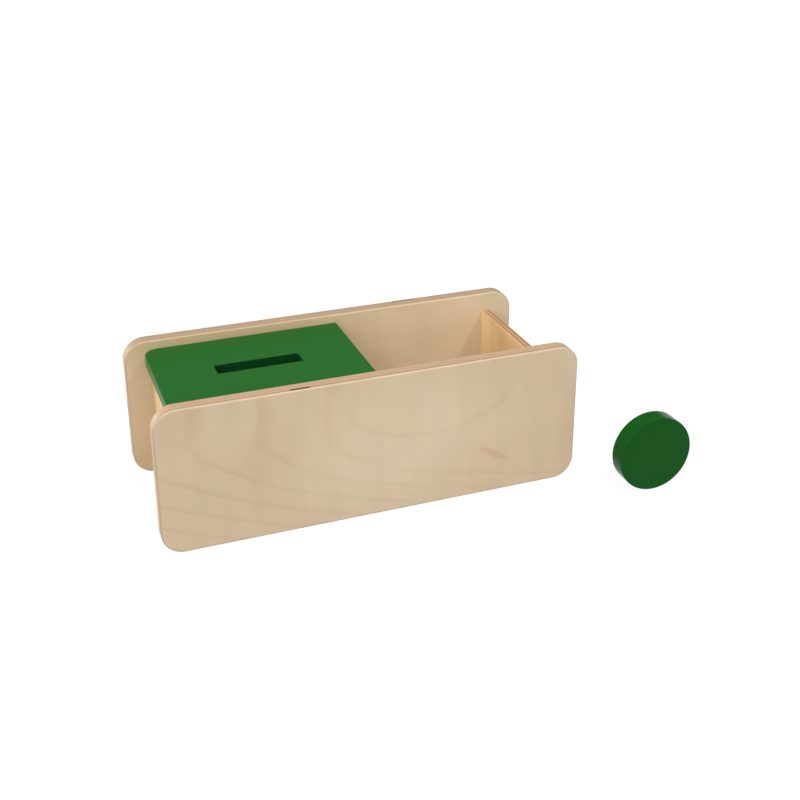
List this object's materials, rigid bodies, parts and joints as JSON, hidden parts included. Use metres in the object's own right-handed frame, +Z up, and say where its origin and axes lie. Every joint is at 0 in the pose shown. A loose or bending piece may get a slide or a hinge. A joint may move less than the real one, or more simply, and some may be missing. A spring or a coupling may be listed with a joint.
{
  "type": "coin posting box",
  "caption": "Long plywood toddler's box with a slotted lacquered lid that flips over end for end to close either half, and a loose thick coin to post through the slot.",
  "frame": {"origin": "on the table under the middle of the box, on the floor board's underside; the loose coin isn't counted", "axes": "+X along the box from the covered half to the open half, +Y from the front panel to the rear panel, +Z up"},
  "size_m": [0.4355, 0.1898, 0.122],
  "materials": {
    "birch_plywood": "clear satin varnish on birch plywood, bare ply edges",
    "dowel_wood": "bare beech",
    "lid_lacquer": "green satin lacquer on wood",
    "coin_lacquer": "green gloss lacquer on wood",
    "pin_steel": "bright drawn steel"
  },
  "bodies": {
    "box": {"front_panel": "birch_plywood", "rear_panel": "birch_plywood", "left_end_wall": "birch_plywood", "right_end_wall": "birch_plywood", "centre_divider": "birch_plywood", "floor_board": "birch_plywood", "dowel_front_left_wall_low": "dowel_wood", "dowel_front_left_wall_high": "dowel_wood", "dowel_front_right_wall_low": "dowel_wood", "dowel_front_right_wall_high": "dowel_wood", "dowel_front_divider_low": "dowel_wood", "dowel_front_divider_high": "dowel_wood", "dowel_rear_left_wall_low": "dowel_wood", "dowel_rear_left_wall_high": "dowel_wood", "dowel_rear_right_wall_low": "dowel_wood", "dowel_rear_right_wall_high": "dowel_wood", "dowel_rear_divider_low": "dowel_wood", "dowel_rear_divider_high": "dowel_wood", "dowel_front_floor_left": "dowel_wood", "dowel_front_floor_middle": "dowel_wood", "dowel_front_floor_right": "dowel_wood", "dowel_rear_floor_left": "dowel_wood", "dowel_rear_floor_middle": "dowel_wood", "dowel_rear_floor_right": "dowel_wood"},
    "lid": {"lid": "lid_lacquer", "lid_pin_front": "pin_steel", "lid_pin_rear": "pin_steel"},
    "coin": {"coin": "coin_lacquer"}
  },
  "joints": [
    {"name": "lid_flip", "type": "hinge", "parent": "box", "child": "lid", "pos_m": [0, 0, 0.1105], "axis": [0, 1, 0], "range_deg": [0, 180]},
    {"name": "coin_lift", "type": "slide", "parent": "box", "child": "coin", "axis": [0, 0, 1], "range_m": [0, 0.15]}
  ]
}
